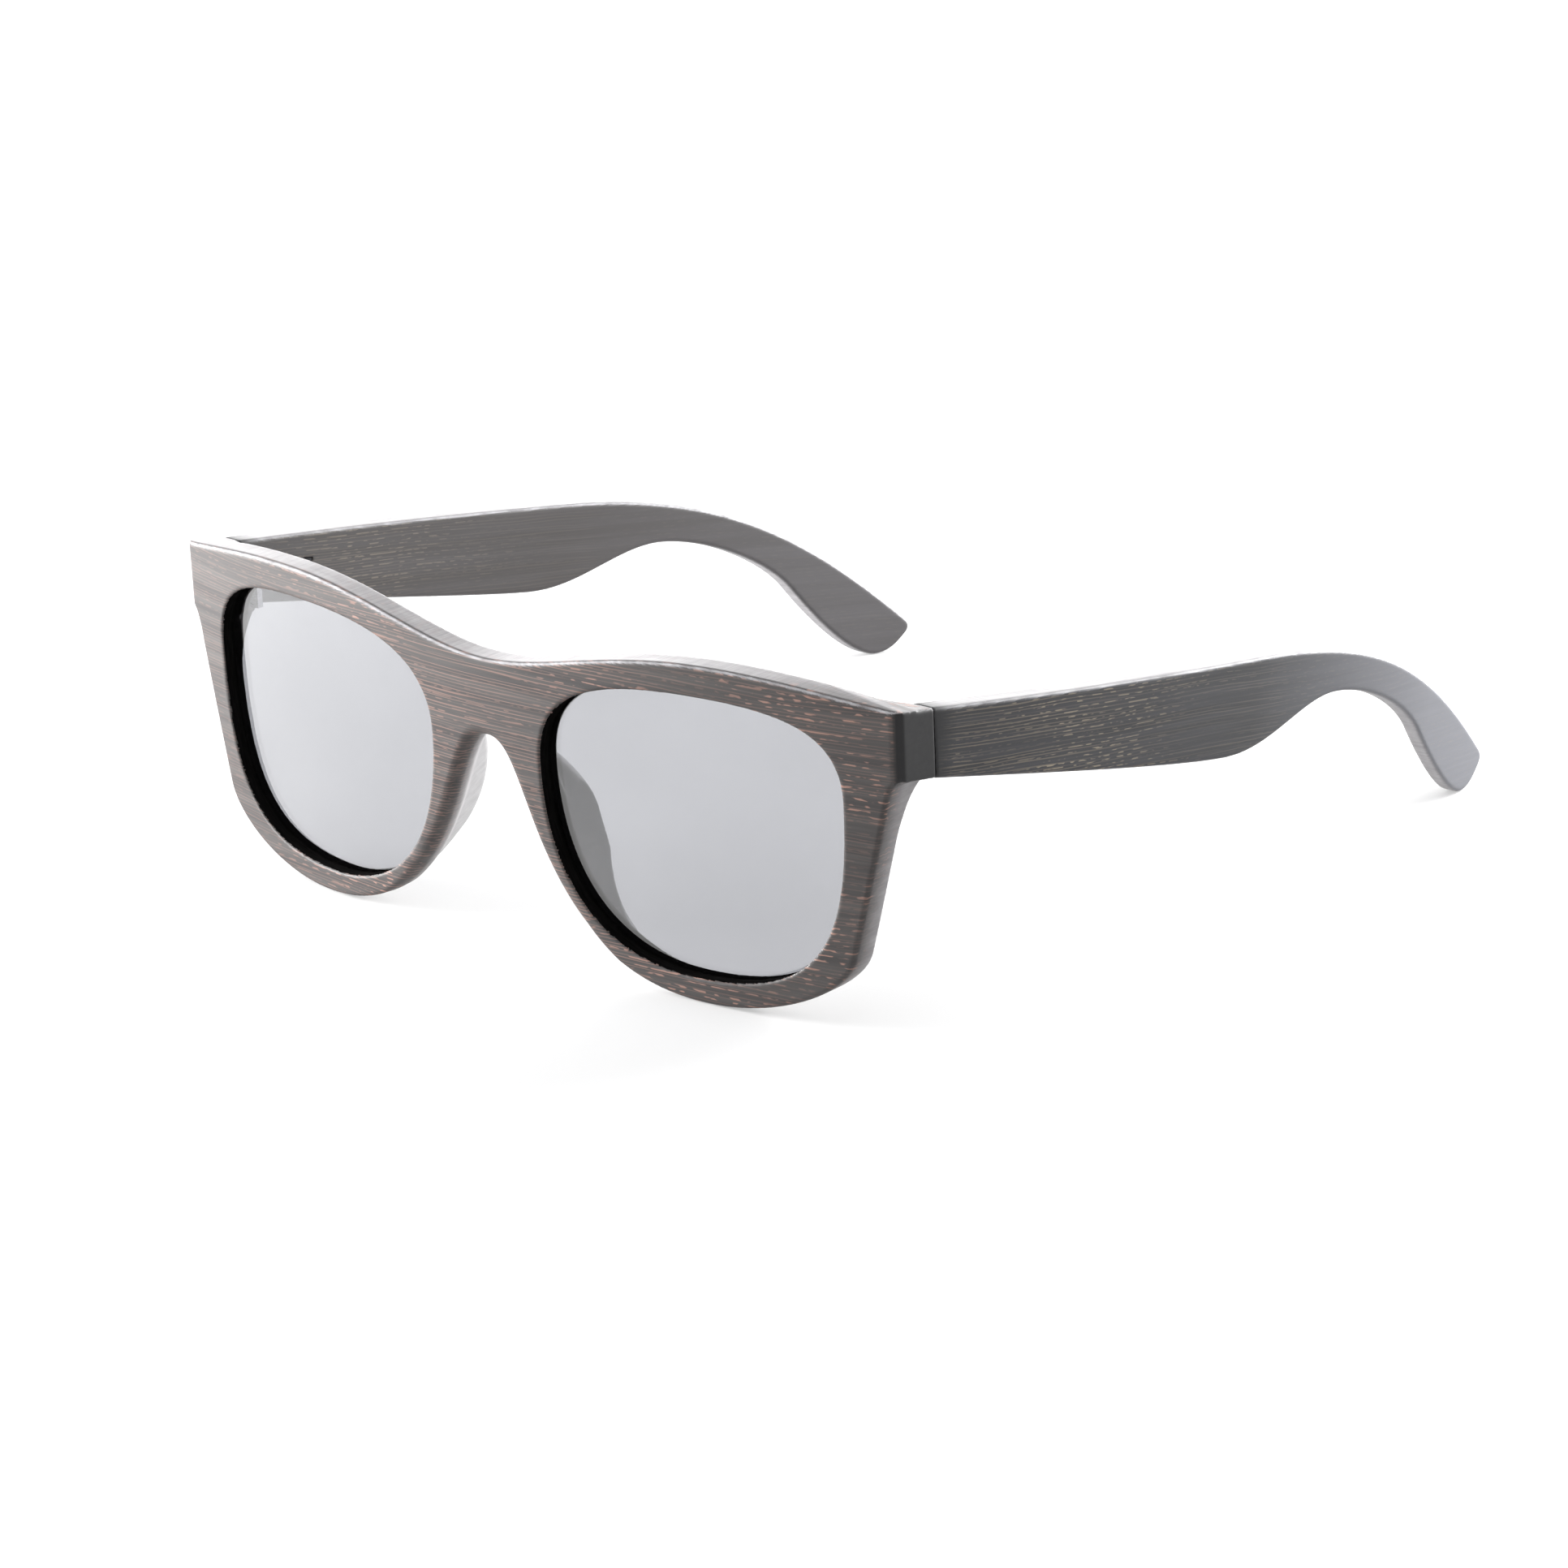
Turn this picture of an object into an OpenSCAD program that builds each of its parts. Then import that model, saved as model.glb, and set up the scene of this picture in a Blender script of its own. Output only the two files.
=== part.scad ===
// Wooden sunglasses with spring hinges, standing open on a table.
// Millimetres, +Z up. The front faces -Y and the temples run to +Y.
// The origin is on the table, at the middle of the footprint.
// Left and right are the wearer's, so the left side is at +X.

/* [Front] */
// Thickness of the wooden front
front_thickness = 4.4; // [4.2:0.1:5.5]
// Radius of the wrap of the front, seen from above
wrap_radius = 300; // [260:5:360]
// Forward lean of the front as the glasses stand
front_lean = 3.5; // [2:0.5:5]
// Dip of the top edge at the middle of the bridge
bridge_dip = 5.5; // [4:0.5:7]
// Height of the wood at the middle of the bridge
bridge_height = 12.2; // [11:0.2:14]
// Half width of the nose arch where it is straight
arch_half = 8; // [7:0.5:9]
// Height of the end piece at the corner of the front
end_height = 10; // [9.5:0.1:11]
// Depth of the end piece from the corner back to the seam
end_depth = 7.5; // [7:0.1:9]
// Rounding of the upright outer corners
corner_round = 1.5; // [1:0.1:2]

/* [Lens opening] */
// Width of one lens opening
opening_width = 52; // [49:0.5:54]
// Height of one lens opening
opening_height = 42.6; // [40:0.2:44]
// Space between the two openings
opening_gap = 22; // [20:0.5:24]
// Width of the rim below the opening
rim_below = 3.7; // [3:0.1:5]
// Width of the rim above the opening
rim_above = 4.7; // [4.2:0.1:6]
// Distance from the opening out to the corner of the front
rim_side = 9; // [8.6:0.2:11]
// Distance from the face of the front to the lens
lens_inset = 2; // [1.8:0.1:2.4]
// Thickness of the lens
lens_thickness = 1; // [0.8:0.1:1.1]
// Depth of the groove that holds the lens
groove_depth = 1; // [0.8:0.1:1.4]
// Clearance between the lens and its groove
lens_clearance = 0.05; // [0.03:0.01:0.1]

/* [Nose pads] */
// Height of a pad from its lower to its upper end
pad_length = 30.5; // [28:0.5:32]
// How far a pad stands out behind the front
pad_height = 7.2; // [6:0.2:8]
// Thickness of a pad
pad_thickness = 3.2; // [2.6:0.1:3.6]
// Outward flare of a pad, seen from above
pad_flare = 12; // [8:1:16]

/* [Temples] */
// Thickness of the wooden temple at the seam
temple_thickness = 4; // [3.8:0.1:4.6]
// Thickness of the wooden temple at the end of its ear hook
tip_thickness = 2.8; // [2.4:0.1:3.4]
// Downward slope of the temple from the front's own level
temple_drop = 10; // [8:0.5:11]
// Outward splay of the temple at the seam
temple_splay = 5; // [4:0.5:6]
// Radius of the temple's bow, seen from above
bow_radius = 530; // [480:10:600]
// Height of the top edge above the hinge's level
temple_top = 6.1; // [5.8:0.1:6.6]
// Depth of the lower edge below the hinge's level, at the seam
root_low = 4; // [3.8:0.1:4.4]
// Distance from the seam to the deepest place of the belly
belly_at = 68; // [60:1:74]
// Depth of the belly below the hinge's level
belly_low = 8.4; // [7.4:0.2:9.4]
// Distance from the seam to the narrow place in front of the ear hook
waist_at = 98; // [94:1:104]
// Depth of the narrow place below the hinge's level
waist_low = 1.9; // [1.4:0.1:2.4]
// Length of the ear hook from the narrow place to its end
hook_length = 59; // [54:0.5:62]
// Width of the ear hook near its end
hook_width = 6.6; // [6:0.2:7.6]
// Open gap of the seam between the end piece and the temple
seam_gap = 0.1; // [0.08:0.01:0.15]

/* [Spring hinge] */
// Diameter of the hinge screw's shank
pin_diameter = 1.4; // [1.2:0.1:1.6]
// Diameter of the hinge screw's head
pin_head = 2.1; // [2:0.05:2.2]
// Height of the hinge screw's head, sunk in the upper knuckle
pin_head_height = 0.45; // [0.4:0.05:0.5]
// Outer diameter of the knuckles
knuckle_diameter = 3; // [2.8:0.1:3.2]
// Height of one knuckle
knuckle_height = 1.5; // [1.4:0.05:1.6]
// Gap between neighbouring knuckles along the pin
knuckle_gap = 0.15; // [0.14:0.01:0.2]
// Clearance all around the pin in its knuckles
pin_clearance = 0.08; // [0.06:0.01:0.1]
// Distance from the temple's inner face in to the pin
pin_offset = 0.9; // [0.8:0.05:1]
// Distance from the pin forward to the back of the leaf's plate
leaf_reach = 2.5; // [2.4:0.1:3]
// Thickness of the leaf's plate
leaf_thickness = 1; // [0.8:0.1:1.1]
// Length of the leaf's plate
leaf_length = 8.4; // [8:0.1:8.6]
// Thickness of the spring box
box_thickness = 3.6; // [3.5:0.1:3.9]
// Height of the spring box
box_height = 3.6; // [3.5:0.1:4]
// Length of the spring box
box_length = 10; // [9.5:0.1:10.5]
// Distance from the pin back to the spring box
box_start = 2.3; // [2.2:0.1:2.6]
// Length of the flange behind the spring box
flange_length = 3.8; // [3.4:0.1:4]
// Thickness of the flange
flange_thickness = 1; // [0.9:0.1:1.1]
// Diameter of the bore for the spring
bore_diameter = 2.5; // [2.4:0.1:2.6]
// Thickness of the box's wall that the spring presses on
box_wall = 1.6; // [1.4:0.1:1.8]
// Diameter of the slider's rod
rod_diameter = 1.2; // [1.1:0.05:1.2]
// Clearance around the rod in the box's wall
rod_clearance = 0.06; // [0.04:0.01:0.08]
// Length of the spring as fitted
spring_length = 6.2; // [6:0.1:6.4]
// Diameter of the spring's wire
wire_diameter = 0.3; // [0.25:0.01:0.3]
// Number of the spring's coils
coils = 6; // [5:1:7]
// Length of the nut behind the spring
nut_length = 1.2; // [1:0.1:1.4]

/* [Screws] */
// Shank diameter of the wood screws
screw_diameter = 1.2; // [1:0.1:1.2]
// Head diameter of the wood screws
screw_head = 2; // [1.8:0.1:2.1]
// Length of the leaf's wood screws
leaf_screw_length = 2.8; // [2.6:0.1:3]
// Length of the spring box's wood screw
box_screw_length = 2.8; // [2.6:0.1:3]
// Clearance of metal parts in wood
fit_gap = 0.1; // [0.06:0.01:0.15]

/* [Hidden] */
$fn = 48;
// Steps along each curved stretch of an outline
steps = 9;
// The front's size follows from the openings and the wood around them
front_width = opening_gap + 2 * (opening_width + rim_side);
front_height = rim_below + opening_height + rim_above;
bridge_top = front_height - bridge_dip;
arch_top = bridge_top - bridge_height;
pad_top = arch_top + 0.7;
pad_low = pad_top - pad_length;
half = front_width / 2;
function wrap(x) = wrap_radius - sqrt(wrap_radius * wrap_radius - x * x);
corner_y = wrap(half);
seam_y = corner_y + end_depth;
// Level of the hinge, which is also the temple's own zero line
corner_top = front_height - 2.5;
hinge_z = corner_top - temple_top - end_depth * tan(temple_drop);
corner_low = corner_top - end_height;
pin_x = half - temple_thickness - pin_offset;
stack = 3 * knuckle_height + 2 * knuckle_gap;
pin_bore = pin_diameter + 2 * pin_clearance;
// Sideways places in the spring box, counted outward from the pin
floor_u = pin_offset + 1;
box_in = floor_u - box_thickness;
nut_at = box_start + box_wall + spring_length;
rod_end = nut_at + nut_length + 0.4;
coil_radius = rod_diameter / 2 + 0.1 + wire_diameter / 2;
flange_end = box_start + box_length + flange_length;

WOOD = [0.25, 0.21, 0.19];
STEEL = [0.72, 0.72, 0.74];
GREY = [0.45, 0.46, 0.48, 0.6];

// A cubic curve from a to d with handles b and c, without its last point
function bend(a, b, c, d) = [
    for (i = [0 : steps - 1])
        let (t = i / steps)
        pow(1 - t, 3) * a + 3 * t * pow(1 - t, 2) * b + 3 * t * t * (1 - t) * c + t * t * t * d
];

function unit(v) = v / norm(v);

// A closed counter-clockwise outline moved outward by g
function grown(p, g) = [
    for (i = [0 : len(p) - 1])
        let (n = len(p), d = unit(p[(i + 1) % n] - p[(i + n - 1) % n]))
        p[i] + g * [d[1], -d[0]]
];

// Lens opening of the left side, seen from the front
nose_x = opening_gap / 2;
side_x = nose_x + opening_width;
low_z = rim_below;
high_z = low_z + opening_height;
nose_z = low_z + 28;
side_z = low_z + 30;
low_x = nose_x + 26.5;
high_x = nose_x + 29;
opening = concat(
    bend([nose_x, nose_z], [nose_x, low_z + 11.4], [low_x - 17.7, low_z], [low_x, low_z]),
    bend([low_x, low_z], [side_x - 4, low_z], [side_x, low_z + 10.2], [side_x, side_z]),
    bend([side_x, side_z], [side_x, high_z - 2.7], [side_x - 7.2, high_z], [high_x, high_z]),
    bend([high_x, high_z], [high_x - 15.6, high_z], [nose_x, high_z - 2.5], [nose_x, nose_z])
);

// Outer edge of the front's left half, from the bridge over the brow to the nose arch
arch_z = arch_top - 11;
rim_bottom_x = low_x + 2;
brow_x = high_x + 2;
nose_edge = concat(
    bend([rim_bottom_x, 0], [rim_bottom_x - 16.5, 0], [arch_half + 6, arch_z - 13.8],
        [arch_half, arch_z]),
    bend([arch_half, arch_z], [arch_half - 3.4, arch_z + 7.8], [arch_half - 4.4, arch_top],
        [0, arch_top])
);
half_edge = concat(
    bend([0, bridge_top], [12, bridge_top], [brow_x - 18, front_height], [brow_x, front_height]),
    bend([brow_x, front_height], [brow_x + 12, front_height], [half - 9.5, corner_top + 1],
        [half, corner_top]),
    [[half, corner_top]],
    bend([half, corner_low], [half - 1.9, corner_low], [half - 2.5, corner_low - 4],
        [half - 3, corner_low - 6.6]),
    bend([half - 3, corner_low - 6.6], [half - 4.5, corner_low - 13], [half - 6.5, corner_low - 21.5],
        [half - 8, 11]),
    bend([half - 8, 11], [half - 9.2, 5.8], [rim_bottom_x + 12.5, 0], [rim_bottom_x, 0]),
    nose_edge
);
front_edge = concat(half_edge, [for (i = [len(half_edge) - 1 : -1 : 1]) [-half_edge[i][0], half_edge[i][1]]]);

// Side outline of the temple, along its length and above the hinge's level
tip_at = waist_at + hook_length;
slope = [cos(34), -sin(34)];
function hook(low) =
    let (
        back = [tip_at - 2.5, hook_width - low],
        sole = [tip_at - 8, -low],
        inner = [tip_at - 28, 12.5 - low]
    )
    concat(
        bend([waist_at - 24, temple_top], [waist_at + 12, temple_top], back - 30 * slope, back),
        bend(back, back + 5.6 * slope, sole + [6.5, 0], sole),
        bend(sole, sole - [4.2, 0], inner + [9, -8.2], inner),
        bend(inner, inner + [-6, 6], [waist_at + 10, -waist_low], [waist_at, -waist_low])
    );
// The hollow side of the bow is set back along the temple, which thins it to the end
bow_shift = (temple_thickness - tip_thickness) * bow_radius / tip_at;
// Standing heights of points of the temple's outline
function stands(p) =
    let (
        y = seam_y + p[0] * cos(temple_drop) + p[1] * sin(temple_drop),
        z = hinge_z - p[0] * sin(temple_drop) + p[1] * cos(temple_drop)
    )
    [y * cos(front_lean) - z * sin(front_lean), y * sin(front_lean) + z * cos(front_lean)];
rim_level = wrap(rim_bottom_x) * sin(front_lean);
// The hook goes down until its sole is level with the bottom of the rims
trial = [for (p = hook(27)) stands(p)[1]];
hook_low = 27 + (min(trial) - rim_level) / cos(temple_drop - front_lean);
temple_edge = concat(
    [[-6, temple_top]],
    hook(hook_low),
    bend([waist_at, -waist_low], [waist_at - 10, -waist_low], [belly_at + 12, -belly_low],
        [belly_at, -belly_low]),
    bend([belly_at, -belly_low], [belly_at - 11, -belly_low], [25, -root_low - 1.6], [0, -root_low]),
    [[0, -root_low], [-6, -root_low]]
);

// Footprint, to put the origin at its middle
rear_y = max([for (p = temple_edge) stands(p)[0]]);
fore_y = -bridge_top * sin(front_lean);
mid_y = (rear_y + fore_y) / 2;

echo(hook_low = hook_low, seam_y = seam_y, hinge_z = hinge_z, pin_x = pin_x, mid_y = mid_y);
echo(rim_level = rim_level, least_spring_gap = spring_length / coils - wire_diameter);

// From the front's own frame to the table
module stand() {
    translate([0, -mid_y, -rim_level])
        rotate([front_lean, 0, 0])
            children();
}

// The left side as it is, the right side mirrored
module side(name) {
    if (name == "left")
        stand() children();
    else
        stand() mirror([1, 0, 0]) children();
}

// An outline seen from the front, as a block from y = from to y = to
module across(points, from, to) {
    translate([0, to, 0])
        rotate([90, 0, 0])
            linear_extrude(to - from)
                polygon(points);
}

// A shell that follows the wrap of the front, between two depths behind its face
module wrapped(from, to) {
    translate([0, wrap_radius, -30])
        difference() {
            cylinder(r = wrap_radius - from, h = 120, $fn = 360);
            translate([0, 0, -1])
                cylinder(r = wrap_radius - to, h = 122, $fn = 360);
        }
}

// The temple's own frame: origin at the seam on the hinge's level, sloping down to the back
module on_temple() {
    translate([0, seam_y, hinge_z])
        rotate([-temple_drop, 0, 0])
            children();
}

// The spring box's frame: origin on the pin, +X outward, +Y back along the temple
module on_box() {
    translate([pin_x, 0, 0])
        rotate([0, 0, -temple_splay])
            children();
}

// A cylinder lying along +Y from a place on the pin's level
module rod(at, d, length) {
    translate([0, at, 0])
        rotate([-90, 0, 0])
            cylinder(d = d, h = length);
}

// Room around the pin for the knuckles
module pin_room(gap) {
    translate([pin_x, seam_y, hinge_z - stack / 2 - gap])
        cylinder(d = knuckle_diameter + 6 * gap, h = stack + 2 * gap);
}

leaf_back = seam_y - leaf_reach;
leaf_out = pin_x + knuckle_diameter / 2;
leaf_in = leaf_out - leaf_length;
leaf_screw_x = [leaf_in + 1.5, leaf_in + 4];
mortise_out = leaf_out + 4 * fit_gap;
box_screw_y = box_start + box_length + flange_length / 2;

// Wood behind the corner of the front, which reaches back to the seam
module end_piece() {
    intersection() {
        translate([0, seam_y, hinge_z])
            rotate([-temple_drop, 0, 0])
                translate([half - 24, -14, -root_low])
                    cube([30, 20, temple_top + root_low]);
        translate([0, 0, corner_low - 20])
            linear_extrude(60)
                polygon([
                    [half - 18, wrap(half - 18) + 2],
                    [half - 4, wrap(half - 4) + 2],
                    [half, corner_y + 1],
                    [half, seam_y],
                    [half - 3.4, seam_y],
                    [half - 12, seam_y - leaf_reach - leaf_thickness + 0.5],
                    [half - 18, wrap(half - 18) + front_thickness]
                ]);
    }
}

// Waste outside the rounded upright corner
module corner_waste() {
    inner = wrap_radius - corner_round;
    x = half - corner_round;
    y = wrap_radius - sqrt(inner * inner - x * x);
    edge = x * wrap_radius / inner;
    translate([0, 0, -10])
        difference() {
            translate([edge, y - 10, 0])
                cube([10, 10, 80]);
            translate([x, y, -1])
                cylinder(r = corner_round, h = 82);
        }
}

// Hollow fillet between the back of the rim and the end piece
module end_flare() {
    r = 5;
    intersection() {
        translate([half - 9, seam_y, hinge_z - root_low])
            rotate([90, 0, 90])
                linear_extrude(9)
                    difference() {
                        translate([-r - 2, -r])
                            square([r + 2, r + 0.5]);
                        translate([0, -r])
                            circle(r);
                    }
        across(front_edge, 0, seam_y);
    }
}

// Carved pad behind the nose side of the left rim
module nose_pad() {
    n = 2 * steps;
    line = [for (i = [2 : n - 3]) nose_edge[i]];
    last = len(line) - 1;
    inner = [
        for (i = [0 : last])
            let (d = unit(line[min(i + 1, last)] - line[max(i - 1, 0)]))
            line[i] + pad_thickness * [d[1], -d[0]]
    ];
    middle = (pad_low + pad_top) / 2;
    reach = (pad_top - pad_low) / 2;
    bulge = (reach * reach + pad_height * pad_height) / (2 * pad_height);
    intersection() {
        translate([arch_half, 0, 0])
            rotate([0, 0, -pad_flare])
                translate([-arch_half, 0, 0])
                    across(concat(line, [for (i = [last : -1 : 0]) inner[i]]),
                        0, front_thickness + pad_height + 6);
        translate([0, front_thickness + pad_height - bulge, middle])
            rotate([0, 90, 0])
                cylinder(r = bulge, h = 60, $fn = 120);
        wrapped(front_thickness / 2, front_thickness + pad_height + 4);
    }
}

// Cuts of the left half of the front: opening, lens groove, hinge mortise and screw holes
module front_cuts() {
    corner_waste();
    across(opening, -5, front_thickness + 8);
    intersection() {
        across(grown(opening, groove_depth), 0, 30);
        wrapped(lens_inset - lens_clearance, lens_inset + lens_thickness + lens_clearance);
    }
    translate([leaf_in - 12, leaf_back - leaf_thickness, hinge_z - stack / 2 - 2 * fit_gap])
        cube([mortise_out - leaf_in + 12, 20, stack + 4 * fit_gap]);
    for (x = leaf_screw_x)
        translate([x, leaf_back - leaf_screw_length - fit_gap, hinge_z])
            rod(0, screw_diameter + fit_gap, leaf_screw_length + 2);
}

module front_wood() {
    intersection() {
        across(front_edge, -5, 40);
        wrapped(0, front_thickness);
    }
    for (m = [0, 1])
        mirror([m, 0, 0]) {
            end_piece();
            end_flare();
            nose_pad();
        }
}

module front_frame() {
    color(WOOD)
        stand()
            difference() {
                front_wood();
                front_cuts();
                mirror([1, 0, 0])
                    front_cuts();
            }
}

module lens() {
    color(GREY)
        intersection() {
            across(grown(opening, groove_depth - 2 * lens_clearance), 0, 30);
            wrapped(lens_inset, lens_inset + lens_thickness);
        }
}

module temple() {
    color(WOOD)
        difference() {
            intersection() {
                on_temple()
                    translate([half - 60, 0, 0])
                        rotate([90, 0, 90])
                            linear_extrude(80)
                                polygon(temple_edge);
                on_temple()
                    translate([half, 0, 0])
                        rotate([0, 0, -temple_splay])
                            translate([-bow_radius, 0, -60])
                                difference() {
                                    cylinder(r = bow_radius, h = 120, $fn = 720);
                                    translate([0, bow_shift, -1])
                                        cylinder(r = bow_radius - temple_thickness, h = 122, $fn = 720);
                                }
                translate([0, seam_y + seam_gap, -40])
                    cube([120, 200, 120]);
            }
            pin_room(2 * fit_gap);
            on_temple()
                on_box() {
                    translate([box_in - 5, -2, -box_height / 2 - fit_gap])
                        cube([box_thickness + 5, flange_end + 2 + fit_gap, box_height + 2 * fit_gap]);
                    translate([0, box_screw_y, 0])
                        rotate([0, 90, 0])
                            cylinder(d = screw_diameter + fit_gap,
                                h = floor_u - flange_thickness + box_screw_length + fit_gap);
                }
        }
}

// Fixed leaf: a plate in the mortise with the upper and the lower knuckle
module hinge_leaf() {
    color(STEEL)
        difference() {
            union() {
                translate([leaf_in, leaf_back - leaf_thickness, hinge_z - stack / 2])
                    cube([leaf_length, leaf_thickness, stack]);
                for (z = [-stack / 2, stack / 2 - knuckle_height])
                    translate([pin_x, seam_y, hinge_z + z]) {
                        cylinder(d = knuckle_diameter, h = knuckle_height);
                        translate([-knuckle_diameter / 2, -leaf_reach - leaf_thickness / 2, 0])
                            cube([knuckle_diameter, leaf_reach + leaf_thickness / 2, knuckle_height]);
                    }
            }
            translate([pin_x, seam_y, hinge_z - stack])
                cylinder(d = pin_bore, h = 2 * stack);
            translate([pin_x, seam_y, hinge_z + stack / 2 - pin_head_height - pin_clearance])
                cylinder(d = pin_head + 2 * pin_clearance, h = stack);
            for (x = leaf_screw_x)
                translate([x, leaf_back - leaf_thickness - 1, hinge_z])
                    rod(0, screw_diameter + fit_gap, leaf_thickness + 2);
            for (x = leaf_screw_x)
                translate([x, leaf_back - leaf_thickness / 2, hinge_z])
                    rod(0, screw_head + fit_gap, leaf_thickness);
        }
}

// A wood screw lying along +Y with its slotted head at y = 0
module wood_screw(length, head) {
    difference() {
        union() {
            rod(-length, screw_diameter, length);
            rod(-head, screw_head, head);
        }
        translate([-0.15, -0.3, -screw_head])
            cube([0.3, 1, 2 * screw_head]);
    }
}

module leaf_screws() {
    color(STEEL)
        for (x = leaf_screw_x)
            translate([x, leaf_back, hinge_z])
                wood_screw(leaf_screw_length, leaf_thickness / 2);
}

// The pin: a screw with a low slotted head, flush with the upper knuckle
module hinge_screw() {
    color(STEEL)
        translate([pin_x, seam_y, hinge_z - stack / 2])
            difference() {
                union() {
                    cylinder(d = pin_diameter, h = stack - pin_head_height / 2);
                    translate([0, 0, stack - pin_head_height])
                        cylinder(d = pin_head, h = pin_head_height);
                }
                translate([-2, -0.15, stack - 0.25])
                    cube([4, 0.3, 1]);
            }
}

// Middle knuckle with the rod that runs in the spring box
module hinge_slider() {
    color(STEEL)
        difference() {
            union() {
                translate([pin_x, seam_y, hinge_z - knuckle_height / 2])
                    cylinder(d = knuckle_diameter, h = knuckle_height);
                on_temple()
                    on_box()
                        rod(0.9, rod_diameter, rod_end - 0.9);
            }
            translate([pin_x, seam_y, hinge_z - stack])
                cylinder(d = pin_bore, h = 2 * stack);
        }
}

module slider_nut() {
    color(STEEL)
        on_temple()
            on_box()
                difference() {
                    rod(nut_at, bore_diameter - 0.2, nut_length);
                    rod(nut_at - 1, rod_diameter + 0.02, nut_length + 2);
                }
}

// The coil as one tube, six-sided, eight rings a turn, running along +Y
module hinge_spring() {
    rings = 8 * coils;
    travel = spring_length - wire_diameter - 0.04;
    start = box_start + box_wall + wire_diameter / 2 + 0.02;
    skin = [
        for (i = [0 : rings], k = [0 : 5])
            let (
                a = 45 * i,
                r = coil_radius + wire_diameter / 2 * cos(60 * k),
                y = start + travel * i / rings + wire_diameter / 2 * sin(60 * k)
            )
            [r * cos(a), y, r * sin(a)]
    ];
    sides = [
        for (i = [0 : rings - 1], k = [0 : 5])
            let (a = 6 * i + k, b = 6 * i + (k + 1) % 6)
            each [[a, a + 6, b], [b, a + 6, b + 6]]
    ];
    ends = [[0, 1, 2, 3, 4, 5], [for (k = [5 : -1 : 0]) 6 * rings + k]];
    color(STEEL)
        on_temple()
            on_box()
                polyhedron(skin, concat(sides, ends));
}

// Box on the inner face of the temple, with the bore for the spring and a screwed flange
module spring_box() {
    color(STEEL)
        on_temple()
            on_box()
                difference() {
                    union() {
                        translate([box_in, box_start, -box_height / 2])
                            cube([box_thickness, box_length, box_height]);
                        translate([floor_u - flange_thickness, box_start, -box_height / 2])
                            cube([flange_thickness, box_length + flange_length, box_height]);
                    }
                    rod(box_start + box_wall, bore_diameter, box_length);
                    rod(0, rod_diameter + 2 * rod_clearance, box_start + box_wall + 1);
                    translate([0, box_screw_y, 0])
                        rotate([0, 90, 0]) {
                            cylinder(d = screw_diameter + fit_gap, h = 5);
                            cylinder(d = screw_head + fit_gap, h = floor_u - flange_thickness / 2);
                        }
                }
}

module box_screw() {
    color(STEEL)
        on_temple()
            on_box()
                translate([floor_u - flange_thickness, box_screw_y, 0])
                    rotate([0, 0, 90])
                        wood_screw(box_screw_length, flange_thickness / 2);
}

front_frame();
side("left") lens();  // lens_left
side("right") lens();  // lens_right
side("left") temple();  // temple_left
side("right") temple();  // temple_right
side("left") hinge_leaf();  // hinge_leaf_left
side("right") hinge_leaf();  // hinge_leaf_right
side("left") leaf_screws();  // leaf_screws_left
side("right") leaf_screws();  // leaf_screws_right
side("left") hinge_screw();  // hinge_screw_left
side("right") hinge_screw();  // hinge_screw_right
side("left") hinge_slider();  // hinge_slider_left
side("right") hinge_slider();  // hinge_slider_right
side("left") slider_nut();  // slider_nut_left
side("right") slider_nut();  // slider_nut_right
side("left") hinge_spring();  // hinge_spring_left
side("right") hinge_spring();  // hinge_spring_right
side("left") spring_box();  // spring_box_left
side("right") spring_box();  // spring_box_right
side("left") box_screw();  // box_screw_left
side("right") box_screw();  // box_screw_right
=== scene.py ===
import math

import bpy
import numpy as np
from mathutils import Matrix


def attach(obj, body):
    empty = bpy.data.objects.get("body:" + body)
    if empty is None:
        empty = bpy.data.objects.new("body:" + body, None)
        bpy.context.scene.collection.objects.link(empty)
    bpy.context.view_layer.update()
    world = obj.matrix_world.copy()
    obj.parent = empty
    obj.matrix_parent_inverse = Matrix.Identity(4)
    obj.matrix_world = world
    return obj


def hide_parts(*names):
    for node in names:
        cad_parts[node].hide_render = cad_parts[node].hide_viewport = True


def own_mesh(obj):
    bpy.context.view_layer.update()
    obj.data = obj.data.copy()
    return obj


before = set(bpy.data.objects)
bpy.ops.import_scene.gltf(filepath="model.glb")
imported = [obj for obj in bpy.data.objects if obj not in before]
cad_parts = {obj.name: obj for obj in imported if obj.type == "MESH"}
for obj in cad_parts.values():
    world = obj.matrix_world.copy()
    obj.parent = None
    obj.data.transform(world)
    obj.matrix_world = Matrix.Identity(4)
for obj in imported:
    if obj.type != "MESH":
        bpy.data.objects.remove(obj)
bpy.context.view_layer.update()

import openvdb as vdb
from mathutils import Vector

# Lengths are millimetres and angles degrees, in the front's own frame: the front stands
# upright, its face touches y = 0 at the bridge, and +X is the wearer's left.
SIDES = ((1, "left"), (-1, "right"))

# Front, with the values of the solids
HALF = 72.0
FRONT_THICKNESS = 4.4
WRAP_RADIUS = 300.0
FRONT_LEAN = 3.5
MID_Y = 82.0457
RIM_LEVEL = 0.159446
CORNER_Y = 8.768
SEAM_Y = 16.2681
SEAM_GAP = 0.1
HINGE_Z = 41.0775
MORTISE_IN = 48.2
MORTISE_OUT = 69.0
MORTISE_Y = 12.768

# Nose pads and lenses, with the values of the solids
ARCH_HALF = 8.0
PAD_HEIGHT = 7.2
PAD_THICKNESS = 3.2
PAD_LOW = 3.5
PAD_TOP = 34.0
PAD_FLARE = 12.0
LENS_INSET = 2.0
LENS_THICKNESS = 1.0
LENS_GROWTH = 0.9

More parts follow.
